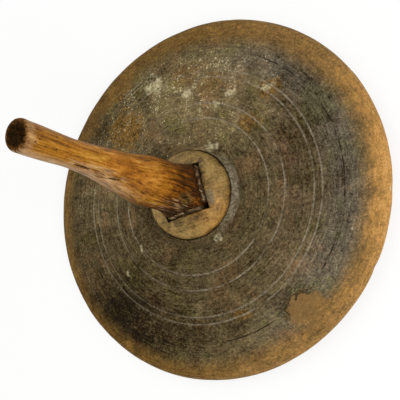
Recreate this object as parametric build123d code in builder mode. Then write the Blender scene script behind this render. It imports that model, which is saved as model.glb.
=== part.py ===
from build123d import *
import os

# A hand-turned wooden pottery wheel, lying upside down on its flat working face with its post
# standing up. Millimetres; the origin is the centre of the working face, +Z runs up the post,
# and X and Y run along the sides of the post's square tenon.

# Wheel disc
wheel_radius = 250.0
rim_round_radius = 12.0
face_height = 27.0
worn_band_radius = 217.0
scribed_ring_radii = (108.8, 129.8, 165.5, 175.0)
scribed_ring_half_width = 0.9
scribed_ring_depth = 0.7

# Raised collar of the disc, and the seat inside it
collar_foot_radius = 70.0
collar_top_radius = 64.5
collar_height = 9.5
collar_edge_round = 1.2
seat_radius = 61.2
seat_floor = 24.0
bore_radius = 56.0
bore_floor = 7.0
cup_pocket_floor = 3.5

# Bearing: bush, washer, cup and pin
journal_radius = 50.0
running_clearance = 0.05
washer_radius = 59.0
washer_thickness = 2.5
cup_radius = 15.0
cup_top = 10.0
cup_dimple_radius = 8.0
cup_dimple_depth = 2.5
pin_radius = 6.0
pin_tip_round = 5.4
pin_tip_gap = 0.3
pin_top = 46.0

# Hub block
hub_radius = 60.2
hub_shoulder = 37.0
hub_dome_rise = 27.0
hub_flange_gap = 0.3
journal_foot = 9.0
mortise_side = 59.0
mortise_mouth_floor = 48.0
mortise_mouth_flare = 14.0

# Post
post_top = 322.5
post_end_radius = 13.8
post_end_length = 66.5
post_end_round = 2.5
post_waist_radius = 18.8
post_waist_height = 210.0
post_belly_radius = 28.4
post_belly_height = 148.0
post_root_radius = 31.2
post_root_height = 92.0
post_root_direction = (-0.35, 1)
post_end_direction = (0, 1)
tenon_corner_radius = 40.0
tenon_shoulder = 57.0
tenon_foot = 13.0
tenon_side = 58.4
tenon_flat_top = 150.0

# Wedges beside the tenon
wedge_width = 48.0
wedge_corner_gap = 8.5
wedge_foot = 18.0
wedge_foot_thickness = 2.4
wedge_head_thickness = 5.6
wedge_head = 61.0
shoulder_cut_radius = 34.0
shoulder_cut_top = 80.0

mortise_half = mortise_side / 2
collar_top = face_height + collar_height
washer_top = seat_floor + washer_thickness
flange_underside = washer_top + hub_flange_gap
rim_top = 2 * rim_round_radius
tool_reach = 2 * hub_radius

# The two sides of the tenon that are wedged, seen in section: each plane's own x runs outwards
# from the axis, towards +X or -Y, and its own y runs up the post.
right_side = Plane.XZ
front_side = Plane((0, 0, 0), x_dir=(0, -1, 0), z_dir=(-1, 0, 0))


with BuildPart() as wheel_disc:
    with BuildSketch(Plane.XZ):
        with BuildLine():
            rim_centre = (wheel_radius - rim_round_radius, rim_round_radius)
            Line((0, 0), (rim_centre[0], 0))
            CenterArc(rim_centre, rim_round_radius, -90, 180)
            Polyline(
                (rim_centre[0], rim_top),
                (worn_band_radius, face_height),
                (collar_foot_radius, face_height),
                (collar_top_radius, collar_top - collar_edge_round),
                (collar_top_radius - collar_edge_round, collar_top),
                (seat_radius, collar_top),
                (seat_radius, seat_floor),
                (bore_radius, seat_floor),
                (bore_radius, bore_floor),
                (cup_radius, bore_floor),
                (cup_radius, cup_pocket_floor),
                (0, cup_pocket_floor),
                (0, 0),
            )
        make_face()
    revolve(axis=Axis.Z)
    with BuildSketch(Plane.XZ):
        for ring_radius in scribed_ring_radii:
            with BuildLine():
                Polyline(
                    (ring_radius - scribed_ring_half_width, face_height),
                    (ring_radius, face_height - scribed_ring_depth),
                    (ring_radius + scribed_ring_half_width, face_height),
                    close=True,
                )
            make_face()
    revolve(axis=Axis.Z, mode=Mode.SUBTRACT)

with BuildPart() as bore_bush:
    with BuildSketch(Plane.XY.offset(bore_floor)):
        Circle(bore_radius)
        Circle(journal_radius + running_clearance, mode=Mode.SUBTRACT)
    extrude(amount=seat_floor - bore_floor)

with BuildPart() as pivot_cup:
    with BuildSketch(Plane.XY.offset(cup_pocket_floor)):
        Circle(cup_radius)
    extrude(amount=cup_top - cup_pocket_floor)
    with Locations((0, 0, cup_top - cup_dimple_depth + cup_dimple_radius)):
        Sphere(cup_dimple_radius, mode=Mode.SUBTRACT)

with BuildPart() as leather_washer:
    with BuildSketch(Plane.XY.offset(seat_floor)):
        Circle(washer_radius)
        Circle(journal_radius + running_clearance, mode=Mode.SUBTRACT)
    extrude(amount=washer_thickness)

with BuildPart() as hub_block:
    with BuildSketch(Plane.XZ):
        with BuildLine():
            Polyline(
                (0, hub_shoulder + hub_dome_rise),
                (0, journal_foot),
                (journal_radius, journal_foot),
                (journal_radius, flange_underside),
                (hub_radius, flange_underside),
                (hub_radius, hub_shoulder),
            )
            EllipticalCenterArc((0, hub_shoulder), hub_radius, hub_dome_rise, 0, arc_size=90)
        make_face()
    revolve(axis=Axis.Z)
    with BuildSketch(Plane.XY):
        Rectangle(mortise_side, mortise_side)
    extrude(amount=tool_reach, mode=Mode.SUBTRACT)
    with BuildSketch(Plane.XY.offset(mortise_mouth_floor)):
        Rectangle(mortise_side, mortise_side)
    extrude(
        amount=hub_shoulder + hub_dome_rise - mortise_mouth_floor,
        taper=-mortise_mouth_flare,
        mode=Mode.SUBTRACT,
    )

with BuildPart() as spindle_post:
    with BuildSketch(Plane.XZ):
        with BuildLine():
            end_foot = post_top - post_end_length
            Polyline((0, post_top), (0, tenon_foot), (tenon_corner_radius, tenon_foot))
            Line((tenon_corner_radius, tenon_foot), (tenon_corner_radius, tenon_shoulder))
            Spline(
                (tenon_corner_radius, tenon_shoulder),
                (post_root_radius, post_root_height),
                (post_belly_radius, post_belly_height),
                (post_waist_radius, post_waist_height),
                (post_end_radius, end_foot),
                tangents=(post_root_direction, post_end_direction),
            )
            Polyline((post_end_radius, end_foot), (post_end_radius, post_top), (0, post_top))
        make_face()
    revolve(axis=Axis.Z)
    fillet(edges().sort_by(Axis.Z)[-1], radius=post_end_round)
    with BuildSketch(Plane.XY.offset(tenon_foot)):
        Circle(tool_reach)
        Rectangle(tenon_side, tenon_side, mode=Mode.SUBTRACT)
    extrude(amount=tenon_flat_top - tenon_foot, mode=Mode.SUBTRACT)
    for side in (right_side, front_side):
        with BuildSketch(side):
            with BuildLine():
                Polyline(
                    (mortise_half - wedge_foot_thickness, tenon_foot),
                    (mortise_half - wedge_foot_thickness, wedge_foot),
                    (mortise_half - wedge_head_thickness, tenon_shoulder),
                    (shoulder_cut_radius, shoulder_cut_top),
                    (tool_reach, shoulder_cut_top),
                    (tool_reach, tenon_foot),
                    close=True,
                )
            make_face()
        extrude(amount=tool_reach, both=True, mode=Mode.SUBTRACT)
    with Locations((0, 0, tenon_foot)):
        Cylinder(
            pin_radius,
            pin_top - tenon_foot,
            align=(Align.CENTER, Align.CENTER, Align.MIN),
            mode=Mode.SUBTRACT,
        )

with BuildPart() as pivot_pin:
    pin_tip = cup_top - cup_dimple_depth + pin_tip_gap
    with BuildSketch(Plane.XY.offset(pin_tip)):
        Circle(pin_radius)
    extrude(amount=pin_top - pin_tip)
    fillet(edges().sort_by(Axis.Z)[0], radius=pin_tip_round)


def tenon_wedge(side, first_edge):
    """A tapered slip between one side of the tenon and the mortise wall."""
    with BuildPart() as wedge:
        with BuildSketch(side.offset(first_edge)):
            with BuildLine():
                Polyline(
                    (mortise_half, wedge_foot),
                    (mortise_half, wedge_head),
                    (mortise_half - wedge_head_thickness / 2, wedge_head),
                    (mortise_half - wedge_head_thickness, tenon_shoulder),
                    (mortise_half - wedge_foot_thickness, wedge_foot),
                    close=True,
                )
            make_face()
        extrude(amount=wedge_width)
    return wedge.part


wedge_right = tenon_wedge(right_side, mortise_half - wedge_corner_gap - wedge_width)
wedge_front = tenon_wedge(front_side, wedge_corner_gap - mortise_half)

pieces = {
    "wheel_disc": wheel_disc.part,
    "bore_bush": bore_bush.part,
    "pivot_cup": pivot_cup.part,
    "leather_washer": leather_washer.part,
    "hub_block": hub_block.part,
    "spindle_post": spindle_post.part,
    "pivot_pin": pivot_pin.part,
    "wedge_right": wedge_right,
    "wedge_front": wedge_front,
}

os.makedirs("parts", exist_ok=True)
for name, piece in pieces.items():
    piece.label = name
    export_step(piece, f"parts/{name}.step")
    size = piece.bounding_box().size
    print(f"{name}: {size.X:.1f} x {size.Y:.1f} x {size.Z:.1f} mm, {piece.volume / 1000:.1f} cm3")
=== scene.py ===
# %% [markdown]
# # A hand-turned pottery wheel, lying on its working face
#
# The real thing is a thick wooden disc, dark with old clay, that turns on a domed hub. A tapered post
# is wedged into the hub. The construction is already there as fixed parts in metres, with the origin
# in the middle of the working face and Z up the post. This lesson gives the parts their worn shapes
# and finishes. Anything that is moved here would no longer fit, so every piece is made in place.

# %% Load the construction
import math
from contextlib import contextmanager
from types import SimpleNamespace

import bpy
import numpy as np
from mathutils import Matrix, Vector, noise


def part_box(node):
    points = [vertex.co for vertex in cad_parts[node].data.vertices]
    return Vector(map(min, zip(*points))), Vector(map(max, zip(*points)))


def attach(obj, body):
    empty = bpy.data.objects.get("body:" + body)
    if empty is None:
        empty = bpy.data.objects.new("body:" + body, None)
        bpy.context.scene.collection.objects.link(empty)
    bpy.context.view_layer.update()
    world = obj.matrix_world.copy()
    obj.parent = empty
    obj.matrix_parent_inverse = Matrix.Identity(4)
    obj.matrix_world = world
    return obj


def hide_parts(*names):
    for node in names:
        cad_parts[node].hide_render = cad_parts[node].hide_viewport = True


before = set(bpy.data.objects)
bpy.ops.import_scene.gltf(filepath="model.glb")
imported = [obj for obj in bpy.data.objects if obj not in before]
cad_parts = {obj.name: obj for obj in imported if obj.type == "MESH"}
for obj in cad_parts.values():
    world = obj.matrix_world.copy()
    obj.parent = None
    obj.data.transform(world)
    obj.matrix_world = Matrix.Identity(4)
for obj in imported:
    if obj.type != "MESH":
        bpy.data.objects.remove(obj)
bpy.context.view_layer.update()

# %% [markdown]
# ## The camera
#
# The photograph looks down on the wheel from close by, with the post leaning to the left of the
# picture. The place and turn were found by matching the rim, the scribed rings and the post. The
# frame is a crop, so its middle isn't the middle of the lens: the shift says by how much.

# %% Set the camera
camera_place = (0.2454, -0.1800, 0.5545)
camera_turn_degrees = (4.37, 28.69, -14.30)
camera_lens = 39.6
camera_sensor = 36.0
camera_shift = (0.0290, 0.1136)

camera_data = bpy.data.cameras.new("camera")
camera_data.lens = camera_lens
camera_data.sensor_width = camera_sensor
camera_data.shift_x, camera_data.shift_y = camera_shift
camera = bpy.data.objects.new("camera", camera_data)
camera.location = camera_place
camera.rotation_euler = [math.radians(turn) for turn in camera_turn_degrees]
bpy.context.scene.collection.objects.link(camera)
bpy.context.scene.camera = camera
print("camera at", tuple(camera.location))

# %% [markdown]
# ## Points and noise
#
# Wear is uneven, so the pieces need a way to move many points by a rule. Reading all the points into
# one array is quicker than asking for them one by one, and it keeps a rule as short as its formula.
# The columns x, y and z are views of that array, so a change to z moves the points in it.

# %% Helpers for points
tiny = 1e-6


def points_of(piece):
    """All points of a piece, one row each."""
    points = np.empty(len(piece.data.vertices) * 3)
    piece.data.vertices.foreach_get("co", points)
    return points.reshape(-1, 3)


def move_points(piece, points):
    """Puts the points of a piece where the array says."""
    piece.data.vertices.foreach_set("co", points.ravel())
    piece.data.update()


def select_points(piece, chosen):
    """Selects the chosen points of a piece and nothing else."""
    for parts in (piece.data.edges, piece.data.polygons):
        parts.foreach_set("select", np.zeros(len(parts), dtype=bool))
    piece.data.vertices.foreach_set("select", np.asarray(chosen, dtype=bool))


def keep_as_attribute(piece, name, values):
    """Stores one number per point, which a material can read."""
    attribute = piece.data.attributes.new(name, "FLOAT", "POINT")
    attribute.data.foreach_set("value", values.astype(np.float32))


def around_axis(points):
    """How far each point is from the Z axis, and in which direction, in degrees."""
    x, y = points[:, 0], points[:, 1]
    return np.hypot(x, y), np.degrees(np.arctan2(y, x))


def arc_away(direction, from_degrees, radius):
    """Distance round the axis from a direction, at a radius."""
    return np.radians((direction - from_degrees + 180) % 360 - 180) * radius


def unevenness(points, size, start=0.0):
    """Smooth noise from -1 to 1 at each point. size is the width of its bumps in metres."""
    shift = Vector((start, 2 * start, 3 * start))
    return np.array([noise.noise(Vector(point) / size + shift) for point in points])


def fade(value, zero_at, one_at):
    """Goes smoothly from 0 to 1 as value goes from zero_at to one_at."""
    part = np.clip((value - zero_at) / (one_at - zero_at), 0, 1)
    return part * part * (3 - 2 * part)


def print_size(piece):
    """Prints how many faces a piece has and how large it is."""
    points = points_of(piece)
    size = 1000 * (points.max(axis=0) - points.min(axis=0))
    print(piece.name, "faces:", len(piece.data.polygons), "size in mm:", size.round(1))


# %% [markdown]
# ## Working on a mesh
#
# Each piece starts as a ready-made shape, is worked on in edit mode, and is smoothed at the end. Slow
# wear comes from modifiers that are held to one area by a vertex group and then applied.

# %% Helpers for meshes
def new_piece(name, add_shape, **settings):
    """Adds a ready-made shape under a name of its own."""
    bpy.ops.object.select_all(action="DESELECT")
    add_shape(**settings)
    piece = bpy.context.object
    piece.name = piece.data.name = name
    return piece


@contextmanager
def edit_mode():
    """Edit mode for the lines of a with block."""
    bpy.ops.object.mode_set(mode="EDIT")
    yield
    bpy.ops.object.mode_set(mode="OBJECT")


def close_mesh():
    """In edit mode, merges points that lie on each other and turns the faces outwards."""
    bpy.ops.mesh.select_all(action="SELECT")
    bpy.ops.mesh.remove_doubles(threshold=tiny)
    bpy.ops.mesh.normals_make_consistent(inside=False)


def smooth_faces(piece, degrees):
    """Shades faces that meet at less than this angle as one smooth surface."""
    bpy.context.view_layer.objects.active = piece
    piece.select_set(True)
    bpy.ops.object.shade_smooth_by_angle(angle=math.radians(degrees))


def change_area(piece, area, kind, **settings):
    """Applies a modifier to an area of a piece. area holds a weight per point."""
    group = piece.vertex_groups.new(name="area")
    for index in np.flatnonzero(area > 0.01):
        group.add([int(index)], float(area[index]), "REPLACE")
    modifier = piece.modifiers.new("change", kind)
    for name, value in settings.items():
        setattr(modifier, name, value)
    modifier.vertex_group = group.name
    bpy.context.view_layer.objects.active = piece
    bpy.context.view_layer.update()
    bpy.ops.object.modifier_apply(modifier=modifier.name)
    piece.vertex_groups.clear()


# %% [markdown]
# ## Turning on a lathe
#
# The disc and the post are turned work: one outline, swept round an axis. By hand that is a single
# point, extruded from station to station along the outline, and then the spin tool. A ready-made
# cylinder would have no stations where the rings, the rim and the cracks need them.

# %% Helpers for turned pieces
def turn(name, outline, steps):
    """A closed piece with this outline of (radius, height) stations, spun round the Z axis."""
    piece = new_piece(name, bpy.ops.mesh.primitive_plane_add, size=0.01)
    with edit_mode():
        bpy.ops.mesh.merge(type="CENTER")
        bpy.ops.transform.translate(value=(outline[0][0], 0, outline[0][1]))
        for here, there in zip(outline, outline[1:]):
            step = (there[0] - here[0], 0, there[1] - here[1])
            bpy.ops.mesh.extrude_region_move(TRANSFORM_OT_translate={"value": step})
        bpy.ops.mesh.select_all(action="SELECT")
        bpy.ops.mesh.spin(steps=steps, angle=2 * math.pi, center=(0, 0, 0), axis=(0, 0, 1))
        close_mesh()
    return piece


def line_of_stations(corners, spacing):
    """Stations about that far apart from corner to corner, without the last corner itself."""
    stations = []
    for start, end in zip(np.array(corners[:-1], dtype=float), np.array(corners[1:], dtype=float)):
        count = max(1, round(float(np.linalg.norm(end - start)) / spacing))
        stations += [tuple(start + (end - start) * number / count) for number in range(count)]
    return stations


def arc_of_stations(centre, radius, start_degrees, end_degrees, steps):
    """Stations on an arc, with both its ends."""
    angles = np.radians(np.linspace(start_degrees, end_degrees, steps + 1))
    return [(centre[0] + radius * math.cos(angle), centre[1] + radius * math.sin(angle)) for angle in angles]


# %% [markdown]
# ## The disc: its outline
#
# The disc is one thick piece of wood. Its edge is rounded by hands, its back is flat with four rings
# scratched by the turner's point, and a sloping collar stands round the hub. A tool leaves faint
# ripples, so the height of the back follows two small waves. Stations are close together where a
# ring is cut and further apart elsewhere. The seat and the bore inside the collar are part of the
# outline too, because they show when the post is lifted out.

# %% Outline of the disc
wheel_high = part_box("wheel_disc")[1]
wheel_radius = wheel_high[0]
collar_top = wheel_high[2]
rim_round_radius = 0.012
face_height = 0.027
worn_band_radius = 0.217
ring_radii = (0.1088, 0.1298, 0.1655, 0.1750)
faint_ring_radius = 0.2000
ring_half_width = 0.0011
ring_depth = 0.0008
ripple_height = 0.00010
ripple_lengths = (0.0083, 0.0047)
second_ripple_share = 0.7
rim_steps = 18
collar_foot_radius = 0.070
collar_top_radius = 0.0645
collar_edge_round = 0.0012
seat_radius = 0.0612
seat_floor = 0.024
seat_edge_width = 0.0006
seat_edge_depth = 0.0008
bore_radius = 0.056
bore_floor = 0.007
cup_radius = 0.015
cup_pocket_floor = 0.0035


def back_height(radius):
    """Height of the turned back of the disc: flat, with tool ripples and the scratched rings."""
    first_wave = math.sin(2 * math.pi * radius / ripple_lengths[0])
    second_wave = math.sin(2 * math.pi * radius / ripple_lengths[1] + 1)
    height = face_height + ripple_height * (first_wave + second_ripple_share * second_wave)
    for ring in ring_radii:
        height -= ring_depth * max(0.0, 1 - abs(radius - ring) / ring_half_width)
    return height


def back_radii():
    """Stations of the back, from the rim inwards, with five at each ring."""
    spacing = 0.0018
    clearance = 1.6 * ring_half_width
    rings = np.array((*ring_radii, faint_ring_radius))
    even = np.arange(collar_foot_radius + spacing, worn_band_radius - spacing, spacing)
    clear = [radius for radius in even if (abs(radius - rings) > clearance).all()]
    at_rings = [ring + part * ring_half_width for ring in rings for part in (-1, -0.5, 0, 0.5, 1)]
    return sorted(clear + at_rings, reverse=True)


rim_centre = (wheel_radius - rim_round_radius, rim_round_radius)
rim_top = (rim_centre[0], 2 * rim_round_radius)
collar_edge = (collar_top_radius, collar_top - collar_edge_round)
disc_outline = line_of_stations([(0, 0), (rim_centre[0], 0)], 0.016)
disc_outline += arc_of_stations(rim_centre, rim_round_radius, -90, 90, rim_steps)
disc_outline += line_of_stations([rim_top, (worn_band_radius, face_height)], 0.002)[1:]
disc_outline += [(radius, back_height(radius)) for radius in back_radii()]
disc_outline += line_of_stations([(collar_foot_radius, face_height), collar_edge], 0.0015)
inner_corners = [
    collar_edge,
    (collar_top_radius - collar_edge_round, collar_top),
    (seat_radius + seat_edge_width, collar_top),
    (seat_radius, collar_top - seat_edge_depth),
    (seat_radius, seat_floor),
    (bore_radius, seat_floor),
    (bore_radius, bore_floor),
    (cup_radius, bore_floor),
    (cup_radius, cup_pocket_floor),
    (0, cup_pocket_floor),
]
disc_outline += line_of_stations(inner_corners, 0.004) + inner_corners[-1:]
print("disc outline has", len(disc_outline), "stations")

# %% Spin the disc
disc_steps = 480
disc = turn("turned_disc", disc_outline, disc_steps)
print_size(disc)

# %% [markdown]
# ## The disc: a century of wear
#
# Old wood warps and wears, so the back gets a slow unevenness and the rim loses a little everywhere.
# A Displace modifier with a cloud texture does both. The rim should only shrink: its middle level is
# near the top of the texture, so that hardly a point moves outwards.

# %% Helper for slow unevenness
def weather(piece, area, depth, size, middle=0.5, stretch=(1, 1, 1)):
    """Moves the points of an area along their normals by cloud noise."""
    bpy.ops.object.empty_add()
    ruler = bpy.context.object
    ruler.scale = stretch
    clouds = bpy.data.textures.new("clouds", "CLOUDS")
    clouds.noise_scale = size
    clouds.noise_depth = 2
    coordinates = {"texture_coords": "OBJECT", "texture_coords_object": ruler}
    change_area(piece, area, "DISPLACE", texture=clouds, strength=depth, mid_level=middle, **coordinates)
    bpy.data.objects.remove(ruler)
    bpy.data.textures.remove(clouds)


# %% Warp the back and wear the rim
back_starts_at_height = (0.022, 0.025)
back_starts_at_radius = (0.0660, 0.0740)
rim_starts_at_radius = (0.222, 0.240)
rim_starts_at_height = (0.001, 0.006)

points = points_of(disc)
z = points[:, 2]
from_axis = around_axis(points)[0]
on_back = fade(z, *back_starts_at_height) * fade(from_axis, *back_starts_at_radius)
on_rim = fade(from_axis, *rim_starts_at_radius) * fade(z, *rim_starts_at_height)
weather(disc, on_back * (1 - on_rim), depth=0.0016, size=0.060)
weather(disc, on_rim, depth=0.0012, size=0.045, middle=0.9)
print_size(disc)

# %% [markdown]
# ## The disc: marks of use
#
# Some marks have a place of their own: a flake has come off beside the rim, a few lumps of clay have
# dried on, a fifth ring is cracked open in stretches, and the rim has nicks. Each is a small rule
# on the points near its place. The places are kept as named values, since the finish needs them too.

# %% Places of the marks
flake_place = (0.112, -0.181)
flake_half_size = (0.026, 0.019)
flake_depth = 0.0007
clay_lumps = [
    ((-0.021, 0.182), (0.016, 0.015)),
    ((0.027, 0.145), (0.0075, 0.006)),
    ((0.089, 0.117), (0.009, 0.006)),
    ((0.065, 0.110), (0.006, 0.005)),
    ((0.045, 0.055), (0.009, 0.006)),
    ((0.024, -0.067), (0.006, 0.004)),
    ((-0.099, -0.045), (0.0022, 0.0050)),
    ((-0.130, -0.077), (0.0030, 0.0032)),
    ((0.139, 0.100), (0.007, 0.005)),
]
clay_lump_height = 0.0006
clay_lump_raggedness = 0.9
clay_lump_grain = 0.005
marks_start_radius = 0.063
open_arcs_degrees = [(28, 45), (-22, 15), (-48, -36), (-92, -70)]
open_arc_depth = 0.0007
open_arc_fade = 4
rim_nicks_degrees = [-95, -71, -38, -17, 12, 63, 97, 141, -128, -163]
rim_nick_depth = 0.0013
rim_nick_length = 0.006
rim_nick_width = 0.005
rim_nick_middle = 0.010
rim_nick_spread = 0.006
rim_nick_reach = 0.235
# How pale the rim's bare wood is in each direction: partly wear, partly painted light that makes the lit
# right side paler and the left darker.
rim_bareness_and_light = [
    (-150, 0.22), (-130, 0.25), (-105, 0.32), (-85, 0.45), (-60, 0.53), (-40, 0.60), (-25, 0.81),
    (-8, 0.81), (5, 0.70), (18, 0.62), (32, 0.48), (45, 0.44), (75, 0.33), (130, 0.25), (165, 0.34),
    (190, 0.34),
]


def patch_weight(points, place, half_size, raggedness=0.5, grain_size=0.006):
    """1 inside an oval patch and 0 outside, with a ragged edge."""
    x, y = points[:, 0], points[:, 1]
    away = np.hypot((x - place[0]) / half_size[0], (y - place[1]) / half_size[1])
    return fade(away + raggedness * unevenness(points, grain_size), 1.3, 0.5)


print("clay lumps:", len(clay_lumps), "open arcs:", len(open_arcs_degrees), "nicks:", len(rim_nicks_degrees))

# %% Press the marks into the disc
points = points_of(disc)
x, y, z = points.T
from_axis, direction = around_axis(points)
on_back = (z > back_starts_at_height[0]) & (from_axis > marks_start_radius)
drop = np.zeros(len(points))
drop[on_back] += flake_depth * patch_weight(points[on_back], flake_place, flake_half_size)
clay_cover = np.zeros(len(points))
for place, half_size in clay_lumps:
    near = on_back & (np.hypot(x - place[0], y - place[1]) < 2 * max(half_size))
    lump = patch_weight(points[near], place, half_size, clay_lump_raggedness, clay_lump_grain)
    lumpiness = 0.7 + 0.6 * unevenness(points[near], 0.004, 5.0)
    clay_cover[near] = np.maximum(clay_cover[near], lump)
    drop[near] -= clay_lump_height * lump * lumpiness
in_faint_ring = on_back & (abs(from_axis - faint_ring_radius) < ring_half_width)
open_here = np.zeros(len(points))
for first, last in open_arcs_degrees:
    past_first = fade(direction, first - open_arc_fade, first + open_arc_fade)
    open_here += past_first * fade(direction, last + open_arc_fade, last - open_arc_fade)
open_here *= fade(unevenness(points * [1, 1, 0], 0.012, 9.0), -0.42, 0.10)
open_here *= 1 - abs(from_axis - faint_ring_radius) / ring_half_width
drop[in_faint_ring] += open_arc_depth * open_here[in_faint_ring]
z -= drop
print("deepest mark in mm:", round(1000 * drop.max(), 2))

# %% Nick the rim and keep the marks for the finish
chipped = np.zeros(len(points))
for nick in rim_nicks_degrees:
    along = arc_away(direction, nick, wheel_radius)
    up = z - (rim_nick_middle + rim_nick_spread * math.sin(nick))
    cut = np.exp(-((along / rim_nick_length) ** 2)) * np.exp(-((up / rim_nick_width) ** 2))
    cut *= from_axis > rim_nick_reach
    chipped = np.maximum(chipped, cut)
    points[:, :2] *= (1 - rim_nick_depth * cut / wheel_radius)[:, None]
move_points(disc, points)
keep_as_attribute(disc, "clay_lump", clay_cover)
keep_as_attribute(disc, "chipped", fade(chipped, 0.75, 0.95))
# The rim's paleness by direction, partly wear and partly painted light.
keep_as_attribute(disc, "bareness_and_light", np.interp(direction, *zip(*rim_bareness_and_light), period=360))
keep_as_attribute(disc, "open_crack", np.where(in_faint_ring, open_here, 0))
smooth_faces(disc, degrees=40)
print_size(disc)

# %% [markdown]
# ## The hub: round outside, square inside
#
# The hub is a domed block with a square mortise for the post. A round loop and a square loop with
# as many points can be bridged, which gives clean rows from the shoulder to the mouth. A Boolean cut
# would leave long thin faces along the mouth, just where the wood is worn and has to be shaped.

# %% Loops of the hub
hub_low, hub_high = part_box("hub_block")
hub_radius = hub_high[0]
hub_foot = hub_low[2]
hub_shoulder = 0.037
hub_dome_rise = 0.027
flange_underside = 0.0268
flange_edge_round = 0.0010
flange_foot_radius = hub_radius - flange_edge_round
journal_radius = 0.050
mortise_half = 0.0295
mouth_half = 0.0318
mouth_floor = 0.048
mouth_height = 0.060
points_around = 200
side_rows = 4
mortise_rows = 10
foot_rows = 6
dome_rows = 44


def grow_loop(rise, scale=1.0):
    """Extrudes the selected loop upwards and widens it about the axis."""
    bpy.ops.mesh.extrude_region_move(TRANSFORM_OT_translate={"value": (0, 0, rise)})
    bpy.ops.transform.resize(value=(scale, scale, 1), center_override=(0, 0, 0))


def half_side(points):
    """Half the side of the square round the axis on which each point lies."""
    return abs(points[:, :2]).max(axis=1)


circle = bpy.ops.mesh.primitive_circle_add
hub = new_piece("domed_hub", circle, vertices=points_around, radius=journal_radius)
with edit_mode():
    bpy.ops.transform.translate(value=(0, 0, hub_foot))
    for row in range(side_rows):
        grow_loop((flange_underside - hub_foot) / side_rows)
    grow_loop(0, flange_foot_radius / journal_radius)
    grow_loop(flange_edge_round, hub_radius / flange_foot_radius)
    for row in range(side_rows):
        grow_loop((hub_shoulder - flange_underside - flange_edge_round) / side_rows)
    bpy.ops.mesh.primitive_plane_add(size=2 * mouth_half, location=(0, 0, mouth_height))
    bpy.ops.mesh.delete(type="ONLY_FACE")
select_points(hub, abs(points_of(hub)[:, 2] - mouth_height) < tiny)
with edit_mode():
    bpy.ops.mesh.subdivide(number_cuts=points_around // 4 - 1)
print_size(hub)

# %% Bridge the dome, cut the mortise and close the foot
select_points(hub, points_of(hub)[:, 2] > hub_shoulder - tiny)
with edit_mode():
    bpy.ops.mesh.bridge_edge_loops(number_cuts=dome_rows)
points = points_of(hub)
select_points(hub, (abs(points[:, 2] - mouth_height) < tiny) & (half_side(points) > mouth_half - tiny))
with edit_mode():
    grow_loop(mouth_floor - mouth_height, mortise_half / mouth_half)
    for row in range(mortise_rows):
        grow_loop((hub_foot - mouth_floor) / mortise_rows)
select_points(hub, abs(points_of(hub)[:, 2] - hub_foot) < tiny)
with edit_mode():
    bpy.ops.mesh.bridge_edge_loops(number_cuts=foot_rows)
    close_mesh()
print_size(hub)

# %% [markdown]
# ## The hub: dome and worn mouth
#
# The bridged rows run straight from the shoulder to the mouth. A rule lifts each point to the dome, a
# half ellipse, and packs the rows closer at the shoulder, where the dome is steep. Then the mouth's
# edge is rounded and chipped: the real one has been wedged and knocked for years.

# %% Shape the dome
mouth_wear_depth = 0.0022
mouth_wear_reach = 0.0022

points = points_of(hub)
z = points[:, 2]
from_axis = around_axis(points)[0]
across = half_side(points)
dome = (z > hub_shoulder + tiny) & (across > mouth_half - tiny)
mouth_radius = mouth_half * from_axis[dome] / across[dome]
part = (from_axis[dome] - mouth_radius) / (hub_radius - mouth_radius)
new_radius = mouth_radius + (hub_radius - mouth_radius) * np.sin(part * math.pi / 2)
points[dome, :2] *= (new_radius / from_axis[dome])[:, None]
z[dome] = hub_shoulder + hub_dome_rise * np.sqrt(np.clip(1 - (new_radius / hub_radius) ** 2, 0, 1))
to_mouth = half_side(points) - mouth_half
chip = np.clip(1 + 0.9 * unevenness(points, 0.009, 3.0), 0.2, 2)
z[dome] -= (mouth_wear_depth * np.exp(-to_mouth / mouth_wear_reach) * chip)[dome]
move_points(hub, points)
on_dome = fade(z, hub_shoulder, hub_shoulder + 0.006) * (across > mouth_half - 1e-4)
weather(hub, on_dome, depth=0.0018, size=0.028)
smooth_faces(hub, degrees=40)
print_size(hub)

# %% [markdown]
# ## The post: whittled, not turned true
#
# The post is a peg at its free end and swells to a squared tenon at its root. It was shaped with a
# knife, so it leans and bulges to one side. The outline is a smooth line through a few
# measured radii. The flats of the tenon are planed: all points past a flat are pressed onto it.

# %% Outline of the post
post_low, post_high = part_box("spindle_post")
post_top = post_high[2]
tenon_foot = post_low[2]
tenon_half = 0.0292
tenon_corner_radius = 0.040
tenon_shoulder = 0.057
tenon_flat_top = 0.150
pin_hole_radius = 0.006
pin_hole_top = 0.046
post_end_radius = 0.0138
post_end_round = 0.0025
end_round_steps = 5
side_top = post_top - post_end_round
post_heights = [
    0.057, 0.075, 0.092, 0.110, 0.130, 0.150, 0.170, 0.190, 0.210, 0.230, 0.250, 0.265, 0.290, 0.310, 0.321,
]
post_radii = [
    0.0400, 0.0345, 0.0312, 0.0305, 0.0296, 0.0280, 0.0245, 0.0213, 0.0188, 0.0161, 0.0142, 0.0134,
    0.0138, 0.0141, 0.0140,
]


def smooth_line(at, places, values):
    """Values at new places on a line that passes smoothly through the given ones."""
    slopes = np.gradient(values, places)
    spans = np.clip(np.searchsorted(places, at) - 1, 0, len(places) - 2)
    first, last = np.take(places, spans), np.take(places, spans + 1)
    width = last - first
    t = np.clip((at - first) / width, 0, 1)
    start, end = np.take(values, spans), np.take(values, spans + 1)
    pull = width * (t * (1 - t) ** 2 * np.take(slopes, spans) - t * t * (1 - t) * np.take(slopes, spans + 1))
    return start + (end - start) * t * t * (3 - 2 * t) + pull


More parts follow.
